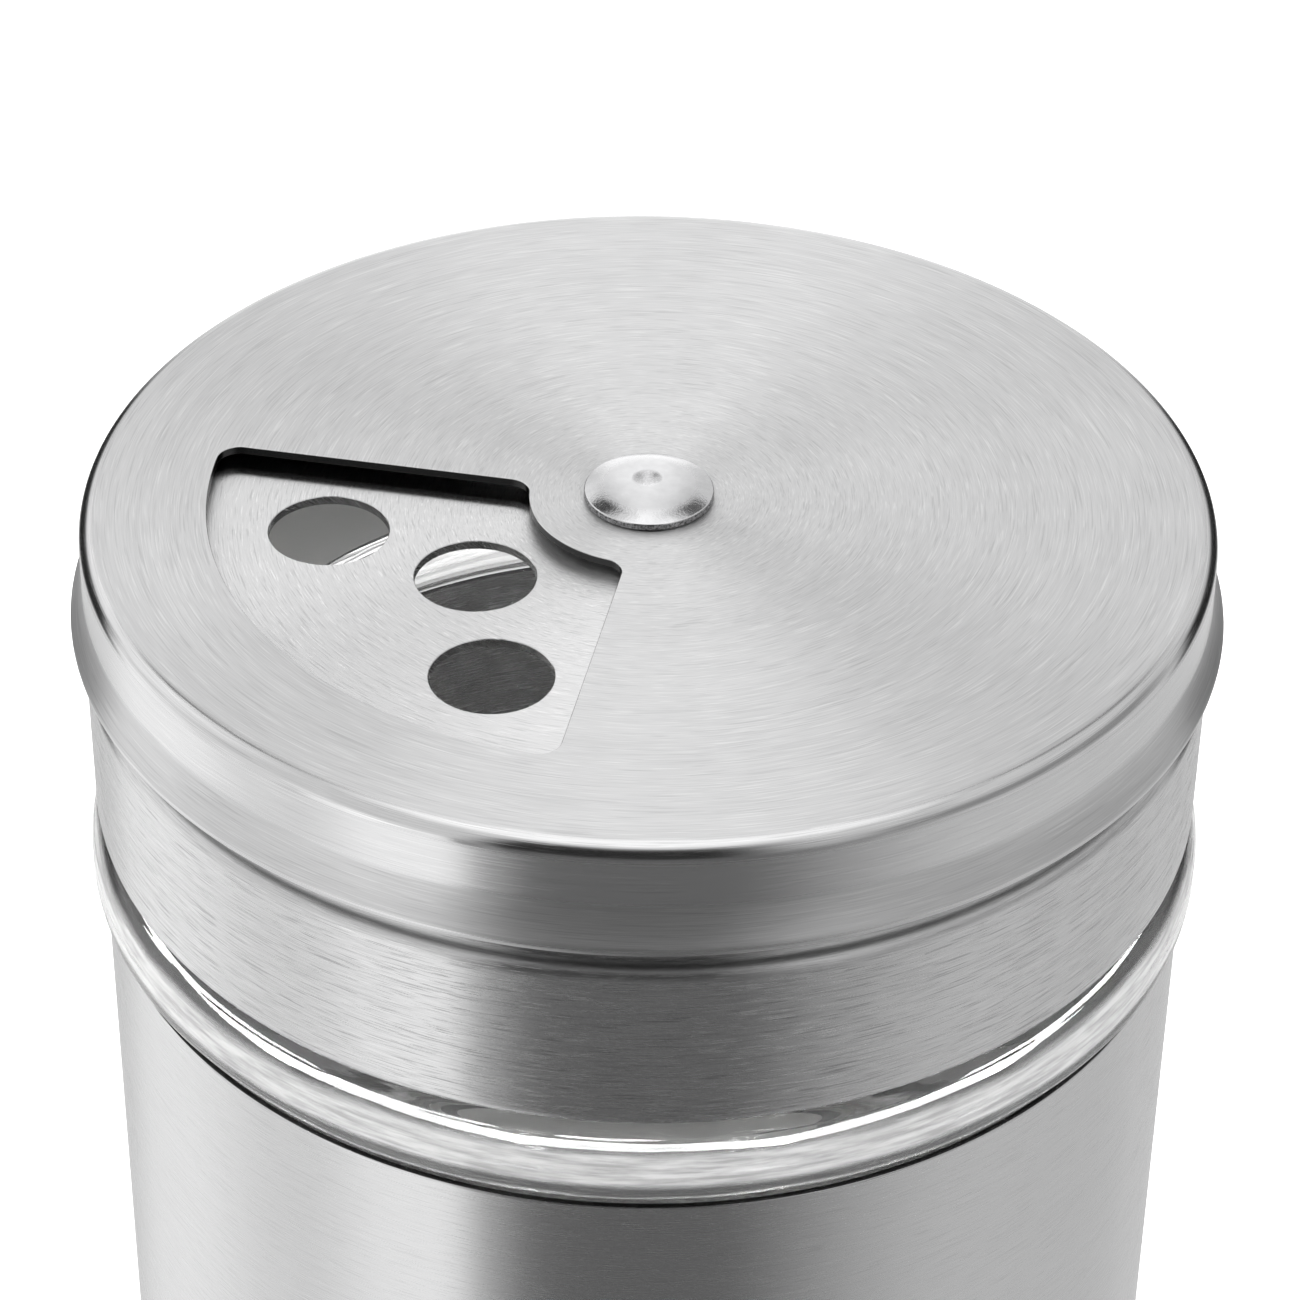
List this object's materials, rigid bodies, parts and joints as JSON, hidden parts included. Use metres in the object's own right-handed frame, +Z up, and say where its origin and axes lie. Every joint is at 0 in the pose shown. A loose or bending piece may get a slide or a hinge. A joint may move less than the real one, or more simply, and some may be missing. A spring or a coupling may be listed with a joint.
{
  "type": "spice shaker",
  "caption": "Screw-topped glass spice shaker in a brushed steel sleeve, with a riveted turning cover that opens holes or a pouring mouth.",
  "frame": {"origin": "centre of the sleeve's foot, on the surface that the shaker stands on", "axes": "+Z up along the axis of the jar, the screw thread and the rivet; -Y towards the front; the window in the cover lies 214.4 degrees counter-clockwise from +X at rest"},
  "size_m": [0.0634, 0.0634, 0.0949],
  "materials": {
    "sleeve_steel": "brushed round the wall",
    "cap_steel": "brushed in circles",
    "cover_steel": "spun in circles, satin",
    "rivet_steel": "turned and half polished",
    "spring_steel": "plain rolled",
    "clear_glass": "pressed, clear",
    "white_plastic": "moulded, satin",
    "grey_plastic": "stamped, matt",
    "silicone": "matt, translucent white"
  },
  "bodies": {
    "sleeve": {"steel_sleeve": "sleeve_steel", "cushion_disc": "silicone"},
    "jar": {"glass_jar": "clear_glass"},
    "lid_seal": {"seal_gasket": "silicone"},
    "lid": {"thread_liner": "white_plastic", "sieve_cap": "cap_steel", "friction_washer": "grey_plastic", "disc_spring": "spring_steel", "backing_washer": "spring_steel", "pivot_rivet": "rivet_steel"},
    "cover": {"rotating_cover": "cover_steel"}
  },
  "joints": [
    {"name": "jar_lift", "type": "slide", "parent": "sleeve", "child": "jar", "axis": [0, 0, 1], "range_m": [0, 0.075]},
    {"name": "lid_rise", "type": "slide", "parent": "jar", "child": "lid_seal", "axis": [0, 0, 1], "range_m": [0, 0.02]},
    {"name": "lid_turn", "type": "hinge", "parent": "lid_seal", "child": "lid", "pos_m": [0, 0, 0.0759], "axis": [0, 0, 1], "range_deg": [0, 1800]},
    {"name": "cover_turn", "type": "hinge", "parent": "lid", "child": "cover", "pos_m": [0, 0, 0.0938], "axis": [0, 0, 1], "continuous": true}
  ],
  "couplings": [
    {"joint": "lid_rise", "follows": "lid_turn", "m_per_rad": 0.00063662}
  ]
}
